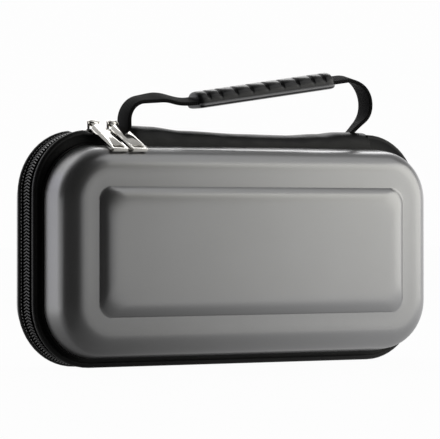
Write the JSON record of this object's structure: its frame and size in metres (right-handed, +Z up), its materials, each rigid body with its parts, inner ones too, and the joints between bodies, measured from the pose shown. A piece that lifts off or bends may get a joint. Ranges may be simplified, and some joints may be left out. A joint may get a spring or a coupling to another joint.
{
  "type": "portable game console case",
  "caption": "Hard-shell carrying case for a handheld game console, with a raised front panel, a zipper round three sides, a folding spine and a webbing handle with a moulded grip.",
  "frame": {"origin": "middle of the footprint, on the ground under the zipped long edge", "axes": "+X along the case to the right seen from the front, +Y from the front panel to the back, +Z up to the handle"},
  "size_m": [0.2576, 0.0672, 0.168],
  "materials": {
    "shell_skin": "satin grey polyurethane skin formed over firm foam",
    "black_skin": "soft black polyurethane cloth, turned and sewn",
    "zip_tape": "black woven polyester zipper tape",
    "zip_coil": "black nylon coil",
    "lining": "black brushed tricot over foam",
    "pocket_cloth": "black stretch cloth with sewn edges",
    "elastic": "black woven elastic",
    "mesh": "black polyester net",
    "webbing": "black ribbed polyester webbing",
    "grip_rubber": "black moulded rubber with a soft sheen",
    "nickel": "polished nickel plating on die-cast zinc"
  },
  "bodies": {
    "rear_case": {"rear_shell": "shell_skin", "rear_binding": "black_skin", "rear_welt": "black_skin", "rear_zip_tape": "zip_tape", "rear_coil": "zip_coil", "console_bed": "lining", "console_strap": "elastic"},
    "spine": {"spine_strip": "black_skin", "handle_strap": "webbing", "grip_sleeve": "grip_rubber", "divider_page": "lining", "front_card_pockets": "pocket_cloth", "rear_card_pockets": "pocket_cloth"},
    "front_lid": {"front_shell": "shell_skin", "front_binding": "black_skin", "front_welt": "black_skin", "front_zip_tape": "zip_tape", "front_coil": "zip_coil", "mesh_pocket": "mesh", "pocket_hem": "elastic", "slider_near": "nickel", "slider_far": "nickel"},
    "pull_near": {"pull_tab_near": "nickel"},
    "pull_far": {"pull_tab_far": "nickel"}
  },
  "joints": [
    {"name": "spine_fold", "type": "hinge", "parent": "rear_case", "child": "spine", "pos_m": [0, 0.01545, 0.1292], "axis": [-1, 0, 0], "range_deg": [0, 90]},
    {"name": "lid_fold", "type": "hinge", "parent": "spine", "child": "front_lid", "pos_m": [0, -0.00815, 0.1292], "axis": [-1, 0, 0], "range_deg": [0, 90]},
    {"name": "near_pull_swing", "type": "hinge", "parent": "front_lid", "child": "pull_near", "pos_m": [-0.0863, 0.00365, 0.13555], "axis": [-1, 0, 0], "range_deg": [0, 230]},
    {"name": "far_pull_swing", "type": "hinge", "parent": "front_lid", "child": "pull_far", "pos_m": [-0.0739, 0.00365, 0.13555], "axis": [-1, 0, 0], "range_deg": [0, 230]}
  ],
  "couplings": [
    {"joint": "lid_fold", "follows": "spine_fold", "ratio": 1}
  ]
}
